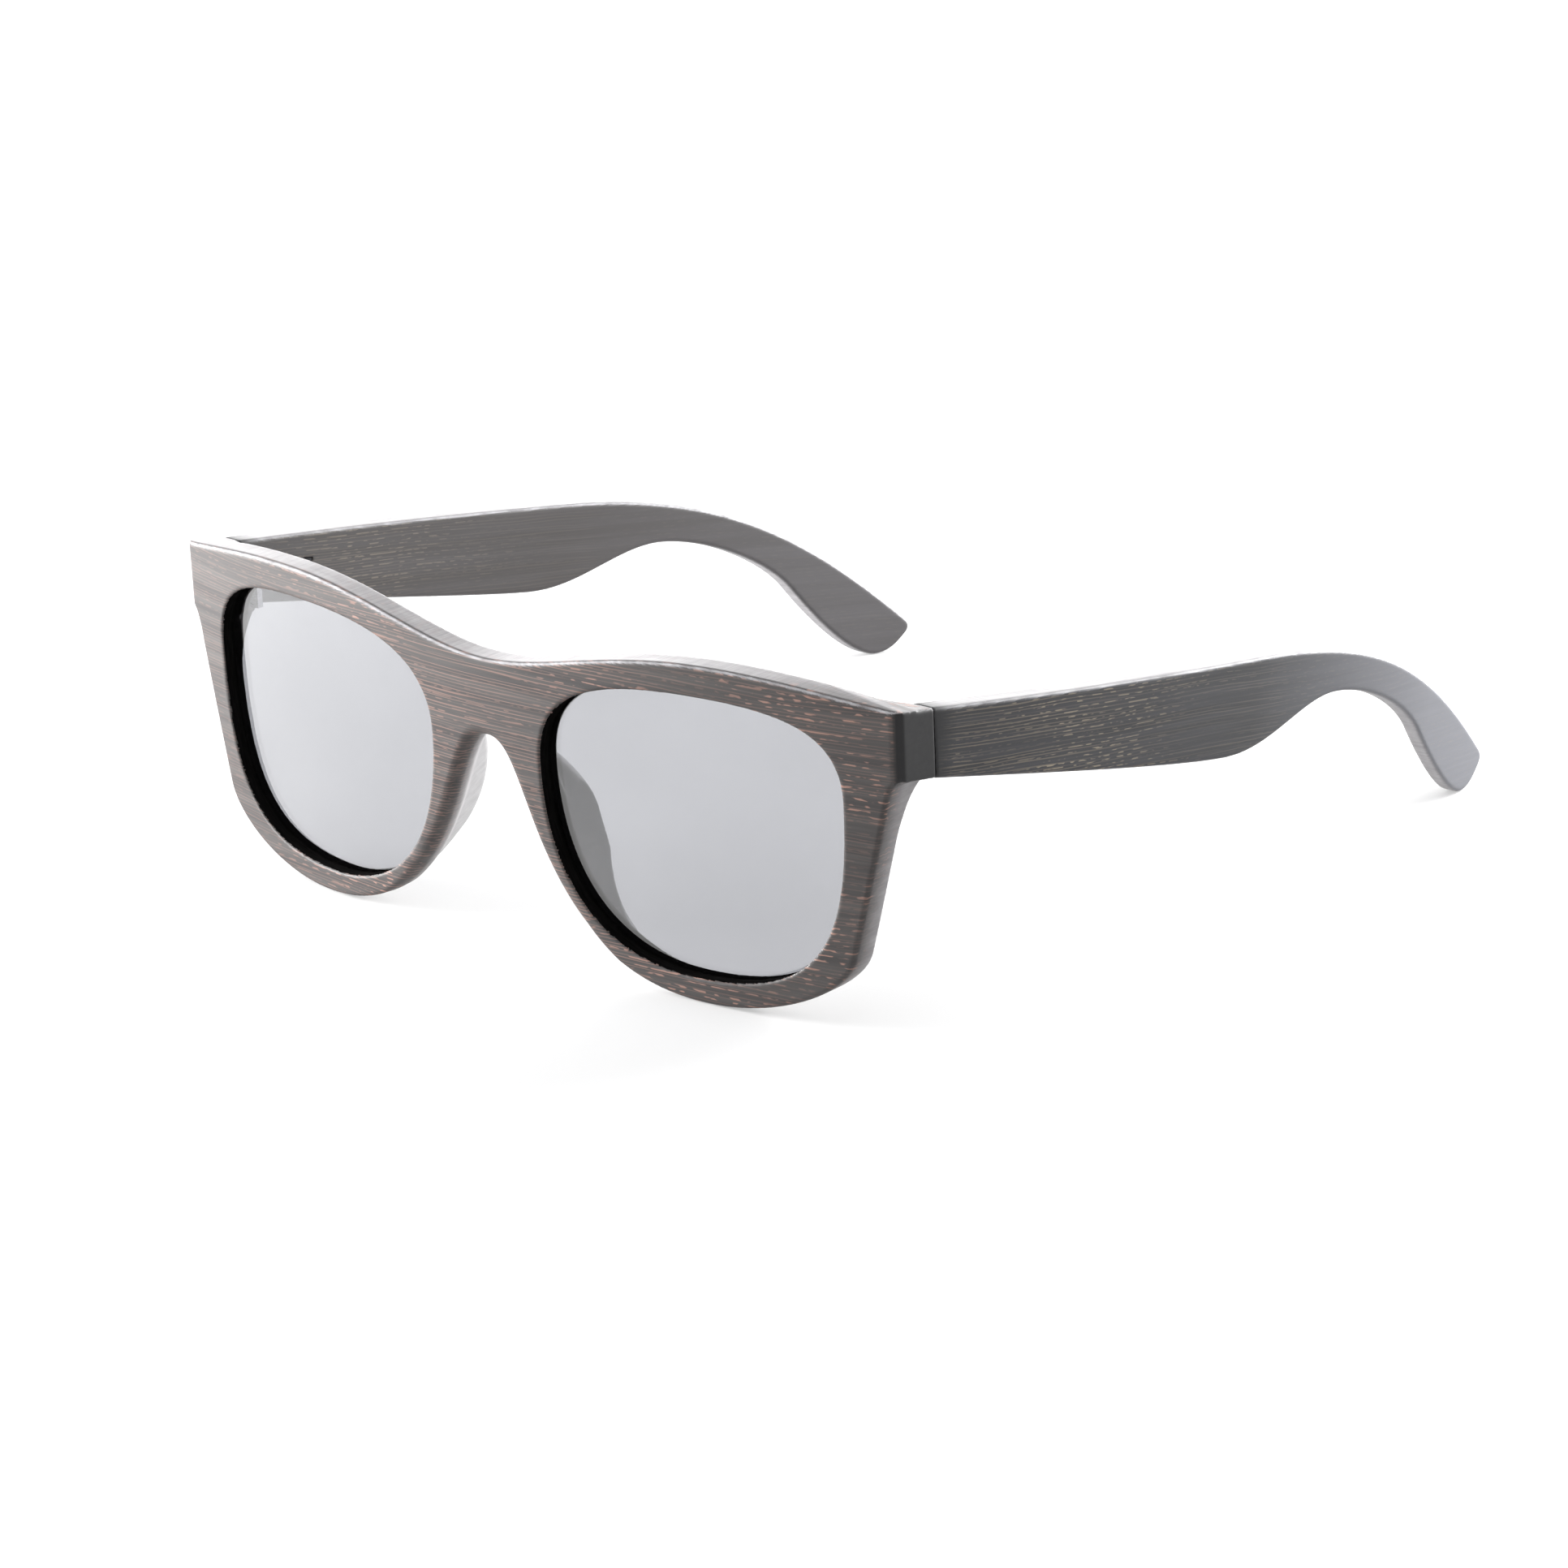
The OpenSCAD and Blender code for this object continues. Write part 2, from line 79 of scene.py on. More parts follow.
# Temples and the rooms for the hinges, with the values of the solids
TEMPLE_THICKNESS = 4.0
TIP_THICKNESS = 2.8
TIP_AT = 157.0
HOOK_LOW = 25.0182
HOOK_WIDTH = 6.6
TEMPLE_TOP = 6.1
ROOT_LOW = 4.0
TEMPLE_DROP = 10.0
TEMPLE_SPLAY = 5.0
BOW_RADIUS = 530.0
BOW_SHIFT = (TEMPLE_THICKNESS - TIP_THICKNESS) * BOW_RADIUS / TIP_AT
PIN_X = 67.1
PIN_ROOM_RADIUS = 2.1
PIN_ROOM_HALF = 2.6
POCKET_U = 1.9
POCKET_END = 16.2
POCKET_HALF = 1.9

# Springs, with the values of the solids
SPRING_RADIUS = 0.85
SPRING_START = 4.07
SPRING_TRAVEL = 5.86
SPRING_COILS = 6
WIRE_RADIUS = 0.15
BOX_WALL_AT = 3.9

# Roundings of the wood's edges, and widths of the soft joins
EDGE_ROUND = 0.6
NOSE_ROUND = 1.7
END_ROUND = 1.6
OPENING_ROUND = 0.35
END_PIECE_ROUND = 0.5
PAD_ROUND = 2.0
END_MELT = 0.6
PAD_MELT = 1.4
# Where the rounding grows toward the nose, from none to full
NOSE_ROUND_X = (24, 18)
NOSE_ROUND_Z = (38, 34)

# Carving: end pieces, the flare under them, the lower half of the pads, the ends of the hooks
TOP_SLOPE = 0.12
FLARE_DEPTH = 2.7
FLARE_LENGTH = 8.5
FLARE_WIDTH = 9.0
FLARE_LAP = 1.0
FLARE_FACE = 2.0
PAD_TOE = 1.7
PAD_TOE_AT = 7.0
PAD_FULL_AT = 23.0
PAD_BEVEL = 3.2
BEVEL_SLOPE = 1.2
BEVEL_SCALE = 0.7
HOOK_SLOPE = -34.0
CORNER_PULL = 0.7
# Half length of the cut for the spring box, which is open at the temple's fore end
POCKET_REACH = 12.0

# Fineness of the curves and meshes
CURVE_STEPS = 27
CORNER_STEPS = 12
LENS_STEPS = 40
LENS_RINGS = 24
SPRING_RINGS = 24
WIRE_SIDES = 12
OUTLINE_STEP = 0.2
OUTLINE_MARGIN = 4.0
VOXEL = 0.25
FIELD_LIMIT = 3.0
FIELD_SLICES = 12
SHARP_ANGLE = 40.0

# Opposite corners of the boxes that hold the front's left half and the left temple
FRONT_ROOM = ((0, -1, -1.2), (73, 17.4, 52.4))
TEMPLE_ROOM = ((58, -1.6, -26), (74.6, 158, 7))
# Moves the grain up on one temple and down on the other, so that the two differ
GRAIN_SHIFT = 30.0


def ramp(value, start, end):
    """Share that goes from 0 at start to 1 at end, which may lie below start."""
    return np.clip((value - start) / (end - start), 0, 1)


def turned(angle):
    """Cosine and sine of an angle in degrees."""
    return math.cos(math.radians(angle)), math.sin(math.radians(angle))


def arc_radius(reach, rise):
    """Radius of an arc that rises by so much within a reach to either side."""
    return (reach ** 2 + rise ** 2) / (2 * rise)


def bend(a, b, c, d, steps=CURVE_STEPS):
    """Points of a cubic curve from a to d, with the handles b and c."""
    t = np.linspace(0.0, 1.0, steps + 1)[:, None]
    a, b, c, d = (np.asarray(p, float) for p in (a, b, c, d))
    return a * (1 - t) ** 3 + 3 * b * t * (1 - t) ** 2 + 3 * c * t ** 2 * (1 - t) + d * t ** 3


def corner(a, apex, b):
    """Points of a tight curve from a to b that turns near the apex."""
    return bend(a, a + CORNER_PULL * (apex - a), b + CORNER_PULL * (apex - b), b, CORNER_STEPS)


def chain(*runs):
    """Runs of points joined into one, without the points that repeat."""
    points = np.vstack([np.atleast_2d(np.asarray(run, float)) for run in runs])
    keep = np.hypot(*(points - np.roll(points, 1, axis=0)).T) > 1e-6
    return points[keep]


def right_of(steps):
    """Unit vectors at right angles to the steps along a line, to its right."""
    steps = steps / np.linalg.norm(steps, axis=1)[:, None]
    return np.stack([steps[:, 1], -steps[:, 0]], axis=1)


def opening_edge(steps):
    """Edge of the left lens opening, seen from the front."""
    return chain(
        bend([11, 31.7], [11, 15.1], [19.8, 3.7], [37.5, 3.7], steps),
        bend([37.5, 3.7], [59, 3.7], [63, 13.9], [63, 33.7], steps),
        bend([63, 33.7], [63, 43.6], [55.8, 46.3], [40, 46.3], steps),
        bend([40, 46.3], [24.4, 46.3], [11, 43.8], [11, 31.7], steps),
    )


NOSE_EDGE = chain(
    bend([39.5, 0], [23, 0], [14, 8.5], [8, 22.3]),
    bend([8, 22.3], [4.6, 30.1], [3.6, 33.3], [0, 33.3]),
)
# Points of the nose edge that the pad stands along
PAD_RUN = slice(6, 46)
HALF_EDGE = chain(
    bend([0, 45.5], [12, 45.5], [24, 51], [42, 51]),
    bend([42, 51], [54, 51], [62.5, 49.5], [HALF, 48.5]),
    bend([HALF, 38.5], [70.1, 38.5], [69.5, 34.5], [69, 31.9]),
    bend([69, 31.9], [67.5, 25.5], [65.5, 17], [64, 11]),
    bend([64, 11], [62.8, 5.8], [52, 0], [39.5, 0]),
    NOSE_EDGE,
)
FRONT_EDGE = chain(HALF_EDGE, HALF_EDGE[::-1] * [-1, 1])


def wrap(x):
    """Depth of the face's curve at x."""
    return WRAP_RADIUS - np.sqrt(WRAP_RADIUS ** 2 - np.square(x))


def end_piece_plan():
    """An end piece seen from above, from the rim out to the seam."""
    rim, face, back, inner = HALF - 18, HALF - 4, HALF - 12, HALF - 3.4
    behind = SEAM_Y + 6
    return np.array([
        [rim, wrap(rim) + 2],
        [face, wrap(face) + 2],
        [HALF, CORNER_Y + 1],
        [HALF, behind],
        [inner, behind],
        [inner, SEAM_Y],
        [back, SEAM_Y - 3],
        [rim, wrap(rim) + FRONT_THICKNESS],
    ])


def pad_band():
    """Band along the nose edge that the nose pad is carved from."""
    line = NOSE_EDGE[PAD_RUN]
    away = right_of(np.gradient(line, axis=0))
    return np.vstack([line, (line + PAD_THICKNESS * away)[::-1]])


def temple_outline():
    """Side view of a temple: distance behind the seam, height above the hinge."""
    slope = np.array(turned(HOOK_SLOPE))
    back = np.array([TIP_AT - 2.5, HOOK_WIDTH - HOOK_LOW])
    sole = np.array([TIP_AT - 8, -HOOK_LOW])
    heel = back + 3.0 * slope
    toe = sole + [3.2, 0.16]
    cut = (toe - heel) / np.linalg.norm(toe - heel)
    inner = np.array([TIP_AT - 28, 12.5 - HOOK_LOW])
    return chain(
        [[-6, TEMPLE_TOP]],
        bend([74, TEMPLE_TOP], [110, TEMPLE_TOP], back - 30 * slope, back),
        corner(heel - 2.6 * slope, heel, heel + 2.4 * cut),
        corner(toe - 3.2 * cut, toe, sole),
        bend(sole, sole - [4.2, 0], inner + [9, -8.2], inner),
        bend(inner, inner + [-6, 6], [108, -1.9], [98, -1.9]),
        bend([98, -1.9], [88, -1.9], [80, -8.4], [68, -8.4]),
        bend([68, -8.4], [57, -8.4], [25, -5.6], [0, -ROOT_LOW]),
        [[-6, -ROOT_LOW]],
    )


class Outline:
    """Signed distance to a closed outline, negative inside, read from a fine table."""

    def __init__(self, points):
        self.low = points.min(axis=0) - OUTLINE_MARGIN
        size = points.max(axis=0) + OUTLINE_MARGIN - self.low
        self.count = np.ceil(size / OUTLINE_STEP).astype(int) + 1
        ticks = [self.low[k] + OUTLINE_STEP * np.arange(self.count[k]) for k in (0, 1)]
        a, b = np.meshgrid(*ticks, indexing="ij")
        nearest = np.full(a.shape, np.inf)
        inside = np.zeros(a.shape, bool)
        for (p, q), (r, s) in zip(points, np.roll(points, -1, axis=0)):
            dx, dy = r - p, s - q
            along = np.clip(((a - p) * dx + (b - q) * dy) / (dx * dx + dy * dy), 0, 1)
            nearest = np.minimum(nearest, (a - p - along * dx) ** 2 + (b - q - along * dy) ** 2)
            if dy:
                crosses = (b < q) != (b < s)
                inside ^= crosses & (a < p + (b - q) * dx / dy)
        self.table = np.where(inside, -1.0, 1.0) * np.sqrt(nearest)

    def __call__(self, a, b):
        last = self.count - 1.001
        u = np.clip((a - self.low[0]) / OUTLINE_STEP, 0, last[0])
        v = np.clip((b - self.low[1]) / OUTLINE_STEP, 0, last[1])
        i, j = u.astype(int), v.astype(int)
        u, v = u - i, v - j
        t = self.table
        return ((1 - u) * ((1 - v) * t[i, j] + v * t[i, j + 1])
                + u * ((1 - v) * t[i + 1, j] + v * t[i + 1, j + 1]))


front_outline = Outline(FRONT_EDGE)
opening_outline = Outline(opening_edge(CURVE_STEPS))
temple_edge = Outline(temple_outline())
end_plan = Outline(end_piece_plan())
pad_outline = Outline(pad_band())


def rounded(a, b, radius):
    """The common part of two forms, with a round where their faces meet."""
    a, b = a + radius, b + radius
    return np.minimum(np.maximum(a, b), 0) + np.hypot(np.maximum(a, 0), np.maximum(b, 0)) - radius


def melted(a, b, width):
    """Two forms joined with a soft transition."""
    h = np.clip(0.5 + 0.5 * (b - a) / width, 0, 1)
    return b + (a - b) * h - width * h * (1 - h)


def in_temple(y, z):
    """Place along a temple and height on it, of a place in the front's frame."""
    c, s = turned(TEMPLE_DROP)
    return (y - SEAM_Y) * c - (z - HINGE_Z) * s, (y - SEAM_Y) * s + (z - HINGE_Z) * c


def from_temple(v, w):
    """Place in the front's frame, of a place along a temple and a height on it."""
    c, s = turned(TEMPLE_DROP)
    return SEAM_Y + v * c + w * s, HINGE_Z - v * s + w * c


def front_depth(x, y):
    """Depth behind the face."""
    return WRAP_RADIUS - np.hypot(x, WRAP_RADIUS - y)


def flare_form(x, z, depth):
    """Distance to the flare under an end piece, hollow toward the back of the rim."""
    low = HINGE_Z - ROOT_LOW
    radius = arc_radius(FLARE_LENGTH, FLARE_DEPTH)
    hollow = radius - np.hypot(depth - FRONT_THICKNESS - radius, z - low + FLARE_LENGTH)
    height = np.maximum(z - low - FLARE_LAP, low - FLARE_LENGTH - z)
    return np.maximum.reduce([hollow, height, HALF - FLARE_WIDTH - x, FLARE_FACE - depth])


def pad_form(x, y, z, depth):
    """Distance to a carved nose pad, whose lower half is bevelled toward the lens."""
    c, s = turned(PAD_FLARE)
    across = ARCH_HALF + (x - ARCH_HALF) * c - y * s
    height = y - FRONT_THICKNESS
    radius = arc_radius((PAD_TOP - PAD_LOW) / 2, PAD_HEIGHT)
    crown = np.hypot(height - PAD_HEIGHT + radius, z - (PAD_TOP + PAD_LOW) / 2) - radius
    rise = ramp(z, PAD_TOE_AT, PAD_FULL_AT)
    thinned = PAD_TOE + (PAD_HEIGHT - PAD_TOE) * rise ** 2 * (3 - 2 * rise)
    to_lens = across - np.interp(z, NOSE_EDGE[:, 1], NOSE_EDGE[:, 0])
    bevel = np.clip(PAD_BEVEL - BEVEL_SLOPE * to_lens, 0, PAD_BEVEL)
    crown = np.maximum(crown, BEVEL_SCALE * (height - thinned - bevel))
    return np.maximum(rounded(pad_outline(across, z), crown, PAD_ROUND), FRONT_THICKNESS / 2 - depth)


def front_form(x, y, z):
    """Distance to the wood of the front, for x >= 0."""
    depth = front_depth(x, y)
    slab = np.abs(depth - FRONT_THICKNESS / 2) - FRONT_THICKNESS / 2
    edge = front_outline(x, z)
    hole = -opening_outline(x, z)
    by_nose = ramp(x, *NOSE_ROUND_X) * ramp(z, *NOSE_ROUND_Z)
    edge_round = EDGE_ROUND + (NOSE_ROUND - EDGE_ROUND) * by_nose
    form = np.maximum(rounded(edge, slab, edge_round), rounded(x - HALF, slab, END_ROUND))
    form = np.maximum(form, rounded(slab, hole, OPENING_ROUND))

    plan = end_plan(x, y)
    w = in_temple(y, z)[1]
    end = rounded(plan, np.maximum(w - TEMPLE_TOP, -ROOT_LOW - w), END_PIECE_ROUND)
    form = melted(form, np.maximum(end, hole), END_MELT)
    form = np.maximum(form, np.where(z > HINGE_Z, edge, -1.0))
    form = np.maximum(form, w - TEMPLE_TOP - TOP_SLOPE * (HALF - x))

    flare = np.maximum(flare_form(x, z, depth), plan)
    form = np.minimum(form, np.maximum(rounded(flare, edge, EDGE_ROUND), hole))
    form = np.maximum(melted(form, pad_form(x, y, z, depth), PAD_MELT), hole)
    form = np.maximum(form, np.maximum(x - HALF, y - SEAM_Y))

    middle, half = (MORTISE_IN + MORTISE_OUT) / 2, (MORTISE_OUT - MORTISE_IN) / 2
    height = np.abs(z - HINGE_Z) - PIN_ROOM_HALF
    mortise = np.maximum.reduce([np.abs(x - middle) - half, MORTISE_Y - y, height])
    return np.maximum(form, -mortise)


def temple_sides(x, v):
    """Distances to the outer and to the inner side of a temple's bow, which thins to the tip."""
    c, s = turned(TEMPLE_SPLAY)
    x, v = x - HALF + BOW_RADIUS * c, v - BOW_RADIUS * s
    return (np.hypot(x, v) - BOW_RADIUS,
            BOW_RADIUS - TEMPLE_THICKNESS - np.hypot(x - BOW_SHIFT * s, v - BOW_SHIFT * c))


def temple_form(x, v, w):
    """Distance to the wood of the left temple, in the temple's frame."""
    form = rounded(temple_edge(v, w), np.maximum(*temple_sides(x, v)), EDGE_ROUND)
    y, z = from_temple(v, w)
    form = np.maximum(form, SEAM_Y + SEAM_GAP - y)

    c, s = turned(TEMPLE_SPLAY)
    u, q = (x - PIN_X) * c - v * s, (x - PIN_X) * s + v * c
    length = np.abs(q - POCKET_END + POCKET_REACH) - POCKET_REACH
    pocket = np.maximum.reduce([u - POCKET_U, length, np.abs(w) - POCKET_HALF])
    around_pin = np.hypot(x - PIN_X, y - SEAM_Y) - PIN_ROOM_RADIUS
    pin_room = np.maximum(around_pin, np.abs(z - HINGE_Z) - PIN_ROOM_HALF)
    return np.maximum(form, -np.minimum(pocket, pin_room))


def carved(form, low, high, mirrored=False):
    """Quads of the surface of a form, sampled between two corners."""
    axes = [np.arange(a + VOXEL / 2, b, VOXEL) for a, b in zip(low, high)]
    values = np.concatenate([
        form(*np.meshgrid(part, axes[1], axes[2], indexing="ij")).astype(np.float32)
        for part in np.array_split(axes[0], FIELD_SLICES)
    ])
    start = np.array([ticks[0] for ticks in axes])
    if mirrored:
        values = np.concatenate([values[::-1], values])
        start[0] = -axes[0][-1]
    grid = vdb.FloatGrid(FIELD_LIMIT)
    grid.copyFromArray(np.ascontiguousarray(np.clip(values, -FIELD_LIMIT, FIELD_LIMIT)))
    points, quads = grid.convertToQuads(0.0)
    return np.asarray(points, float) * VOXEL + start, np.asarray(quads, int)


def in_part(points):
    """Metres in the part's frame, of millimetres in the front's."""
    c, s = turned(FRONT_LEAN)
    x, y, z = np.asarray(points, float).T
    return np.stack([x, y * c - z * s - MID_Y, y * s + z * c - RIM_LEVEL], axis=1) / 1000


def linked(name, data):
    """A new object in the scene."""
    piece = bpy.data.objects.new(name, data)
    bpy.context.scene.collection.objects.link(piece)
    return piece


def smooth_object(name, points, faces):
    """A smooth-shaded object, with edges kept where the surface turns sharply."""
    mesh = bpy.data.meshes.new(name)
    mesh.from_pydata(points.tolist(), [], faces)
    mesh.validate()
    mesh.update()
    mesh.shade_smooth()
    mesh.set_sharp_from_angle(angle=math.radians(SHARP_ANGLE))
    return linked(name, mesh)


def facing_out(points, quads):
    """Quads of a closed surface, turned where need be so that they face outward."""
    corners = points[quads]
    volume = 0.0
    for k in (1, 2):
        volume += np.einsum("ij,ij->", corners[:, 0], np.cross(corners[:, k], corners[:, k + 1]))
    return (quads if volume > 0 else quads[:, [0, 3, 2, 1]]).tolist()


def normals_of(piece):
    """Normals of a piece's vertices."""
    normals = np.empty(3 * len(piece.data.vertices), np.float32)
    piece.data.vertex_normals.foreach_get("vector", normals)
    return normals.reshape(-1, 3)


def tag(piece, name, values):
    """Values for each vertex, which the materials read: a number or three."""
    values = np.asarray(values, np.float32)
    kind, field = ("FLOAT_VECTOR", "vector") if values.ndim == 2 else ("FLOAT", "value")
    layer = piece.data.attributes.new(name, kind, "POINT")
    layer.data.foreach_set(field, values.ravel())


def finished(piece, body, node, material):
    """Puts a piece on its body in place of its node."""
    piece.data.materials.append(material)
    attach(piece, body)
    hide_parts(node)


class Nodes:
    """A material's nodes, made in the order that they are used."""

    # Sockets of a colour mix
    mix_first = 6
    mix_second = 7
    mix_result = 2

    def __init__(self, name):
        self.material = bpy.data.materials.new(name)
        self.material.use_nodes = True
        self.tree = self.material.node_tree
        self.shader = self.tree.nodes["Principled BSDF"]

    def add(self, kind, **settings):
        """A new node with some of its settings."""
        node = self.tree.nodes.new("ShaderNode" + kind)
        for key, value in settings.items():
            setattr(node, key, value)
        return node

    def feed(self, socket, value):
        """Links an output to a socket, or sets a plain value on it."""
        if isinstance(value, bpy.types.NodeSocket):
            self.tree.links.new(value, socket)
        else:
            socket.default_value = value

    def tagged(self, name, output="Fac"):
        """What tag() put on the vertices."""
        return self.add("Attribute", attribute_name=name).outputs[output]

    def calc(self, operation, *values):
        """One operation on one or two numbers."""
        node = self.add("Math", operation=operation)
        for socket, value in zip(node.inputs, values):
            self.feed(socket, value)
        return node.outputs[0]

    def product(self, a, b):
        return self.calc("MULTIPLY", a, b)

    def scaled(self, vector, scale):
        node = self.add("VectorMath", operation="MULTIPLY")
        self.feed(node.inputs[0], vector)
        node.inputs[1].default_value = scale
        return node.outputs[0]

    def noise(self, vector, scale=1.0, detail=2.0, roughness=0.5):
        node = self.add("TexNoise")
        self.feed(node.inputs["Vector"], vector)
        node.inputs["Scale"].default_value = scale
        node.inputs["Detail"].default_value = detail
        node.inputs["Roughness"].default_value = roughness
        return node.outputs["Fac"]

    def span(self, value, low, high, to_low=0.0, to_high=1.0):
        """A value between low and high as a share, or between two other numbers."""
        node = self.add("MapRange", clamp=True)
        self.feed(node.inputs["Value"], value)
        node.inputs["From Min"].default_value = low
        node.inputs["From Max"].default_value = high
        node.inputs["To Min"].default_value = to_low
        node.inputs["To Max"].default_value = to_high
        return node.outputs["Result"]

    def spread(self, noise, to_low=0.0, to_high=1.0):
        """The span of a noise's usual values."""
        return self.span(noise, 0.3, 0.7, to_low, to_high)

    def mix(self, share, a, b):
        """A colour between a and b."""
        node = self.add("Mix", data_type="RGBA")
        self.feed(node.inputs["Factor"], share)
        self.feed(node.inputs[self.mix_first], a)
        self.feed(node.inputs[self.mix_second], b)
        return node.outputs[self.mix_result]

    def paint(self, base, roughness):
        """Gives the shader its colour and its roughness."""
        self.feed(self.shader.inputs["Base Color"], base)
        self.feed(self.shader.inputs["Roughness"], roughness)

    def bump(self, height, distance, strength):
        """Raises the surface a little, by a distance in metres."""
        node = self.add("Bump")
        node.inputs["Strength"].default_value = strength
        node.inputs["Distance"].default_value = distance
        self.feed(node.inputs["Height"], height)
        self.feed(self.shader.inputs["Normal"], node.outputs["Normal"])


def colour(red, green, blue):
    """A colour of a picture, 0 to 255, as the light that it stands for."""
    parts = [c / 255 for c in (red, green, blue)]
    return [c / 12.92 if c <= 0.04045 else ((c + 0.055) / 1.055) ** 2.4 for c in parts] + [1.0]


# Colours of the surfaces. A pair is mixed by a noise.
# Painted light: paler toward the temples' tips, and more on their outer faces
PAINTED_TIP_LIGHT = colour(121, 122, 128)
INNER_SIDE = colour(98, 91, 87)
# Pale sides: partly sanded wood, partly painted reflection; on the top faces, painted reflection
PALE_SIDE_AND_PAINTED_SHEEN = (colour(146, 144, 146), colour(172, 169, 171))
# Painted reflection: pale, smooth nose pads
PAINTED_PAD_REFLECTION = (colour(186, 185, 186), colour(202, 201, 202))
# Painted highlight along the edges toward the top
PAINTED_EDGE_HIGHLIGHT = colour(196, 195, 199)
PLAIN_FACE = colour(24, 24, 26)
WALL_BLACK = (colour(10, 10, 10), colour(22, 21, 21))
LENS_TINT = (colour(168, 169, 174), colour(172, 173, 178))
PAPER = ((0.5, 0.5, 0.5, 1), (0.52, 0.52, 0.52, 1))


def drifting_grain(n):
    """Place in the grain: X along it, Y across it with slow waves, Z in depth."""
    grain = n.tagged("grain", "Vector")
    drift = n.noise(n.scaled(grain, (0.02, 0.05, 0.05)), detail=1)
    lift = n.add("CombineXYZ")
    n.feed(lift.inputs["Y"], n.span(drift, 0, 1, -1.0, 1.0))
    moved = n.add("VectorMath", operation="ADD")
    n.feed(moved.inputs[0], grain)
    n.feed(moved.inputs[1], lift.outputs[0])
    return moved.outputs[0]


def fibre_marks(n, grain, run, across, spacing, dash, long_share, fade):
    """Share of pale fibres in the wood: short dashes in patches, and long thin lines."""
    wobble = n.span(n.noise(n.scaled(grain, (0.05, 0.9, 0.9)), detail=1), 0, 1, -4, 4)

    def rows(pitch):
        phase = n.calc("ADD", n.product(across, 2 * math.pi / pitch), wobble)
        return n.span(n.calc("SINE", phase), 0.35, 0.9)

    from_middle = n.calc("ABSOLUTE", run)
    breaks = n.noise(n.scaled(grain, (1 / dash, 1.1 / spacing, 0.6)), detail=1)
    patches = n.noise(n.scaled(grain, (0.04, 0.13, 0.2)))
    dashes = n.product(rows(spacing), n.span(breaks, 0.5, 0.58))
    dashes = n.product(dashes, n.span(from_middle, 6, 26, 0.45, 1.0))
    # Fewer fibres toward the end at -X: painted to stand in for glare that washes them out there
    dashes = n.product(dashes, n.span(run, -55, -25, 0.2, 1.0))
    dashes = n.product(dashes, n.span(patches, 0.38, 0.54, 0.15, 0.95))
    dashes = n.product(dashes, n.span(run, *fade, 1.0, 0.1))

    lengths = n.noise(n.scaled(grain, (0.025, 1.4, 0.6)), detail=1)
    lines = n.product(rows(0.5), n.span(lengths, 0.36, 0.58, 0.0, long_share))
    lines = n.product(lines, n.span(from_middle, 22, 42, 1.0, 0.4))
    lines = n.calc("SUBTRACT", lines, n.span(run, 80, 120))
    return n.calc("MAXIMUM", dashes, n.calc("MAXIMUM", lines, 0.0))


def sanded_and_painted_sheen(n, grain, skin):
    """The wood's skin with pale sides, partly sanded wood and partly painted reflection, a painted
    reflection on the pads and a painted highlight along the edges toward the top.
    """
    patches = n.noise(n.scaled(grain, (0.12, 0.5, 0.5)), detail=3)
    brushed = n.noise(n.scaled(grain, (3.0, 0.5, 0.15)), detail=3, roughness=0.65)
    highlight_breaks = n.noise(n.scaled(grain, (0.3, 0.6, 0.6)), detail=3)
    on_side = n.product(n.tagged("side"), n.spread(patches, 0.75, 1.0))
    edge_highlight = n.product(n.tagged("edge"), n.span(highlight_breaks, 0.3, 0.6, 0.35, 0.9))
    # Pale sides, partly sanded wood and partly painted reflection; painted reflection on the top faces
    skin = n.mix(on_side, skin, n.mix(n.spread(brushed), *PALE_SIDE_AND_PAINTED_SHEEN))
    # Painted reflection on the pads' inner faces
    skin = n.mix(n.tagged("pad"), skin, n.mix(n.spread(brushed), *PAINTED_PAD_REFLECTION))
    # Painted highlight along the edges toward the top, broken up by a noise
    return n.mix(edge_highlight, skin, PAINTED_EDGE_HIGHLIGHT)


def bamboo(name, ground, shade, fibre, spacing, dash, long_share, fade, inside):
    """Stained bamboo: a dark ground with fine fibres along the grain, pale sides, and painted light:
    highlights on the upper edges, reflections on the top and the pads, and paler temple tips.
    """
    n = Nodes(name)
    grain = drifting_grain(n)
    place = n.add("SeparateXYZ")
    n.feed(place.inputs[0], grain)
    run = place.outputs["X"]
    plain = n.tagged("plain")

    def by_side(inner, outer):
        return n.span(place.outputs["Z"], -2, -1, inner, outer)

    marks = fibre_marks(n, grain, run, place.outputs["Y"], spacing, dash, long_share, fade)
    marks = n.product(marks, n.span(plain, 0, 1, 1.0, 0.06))
    marks = n.product(marks, by_side(inside, 1.0))

    tone = n.noise(n.scaled(grain, (0.02, 0.6, 0.4)), detail=3, roughness=0.6)
    skin = n.mix(n.span(tone, 0.36, 0.66), ground, shade)
    # Painted light: paler toward a temple's tip, and more on its outer face than on its inner one
    skin = n.mix(n.product(n.span(run, 74, 132), by_side(0.25, 0.9)), skin, PAINTED_TIP_LIGHT)
    skin = n.mix(by_side(0.3, 0.0), skin, INNER_SIDE)
    skin = sanded_and_painted_sheen(n, grain, n.mix(marks, skin, fibre))
    skin = n.mix(n.product(plain, 0.95), skin, PLAIN_FACE)

    sheen = n.spread(n.noise(n.scaled(grain, (0.05, 1.2, 1.2)), detail=3), 0.46, 0.56)
    n.paint(skin, n.calc("ADD", sheen, n.product(marks, 0.1)))
    n.shader.inputs["Specular IOR Level"].default_value = 0.33
    n.bump(marks, 0.00003, 0.4)
    return n.material


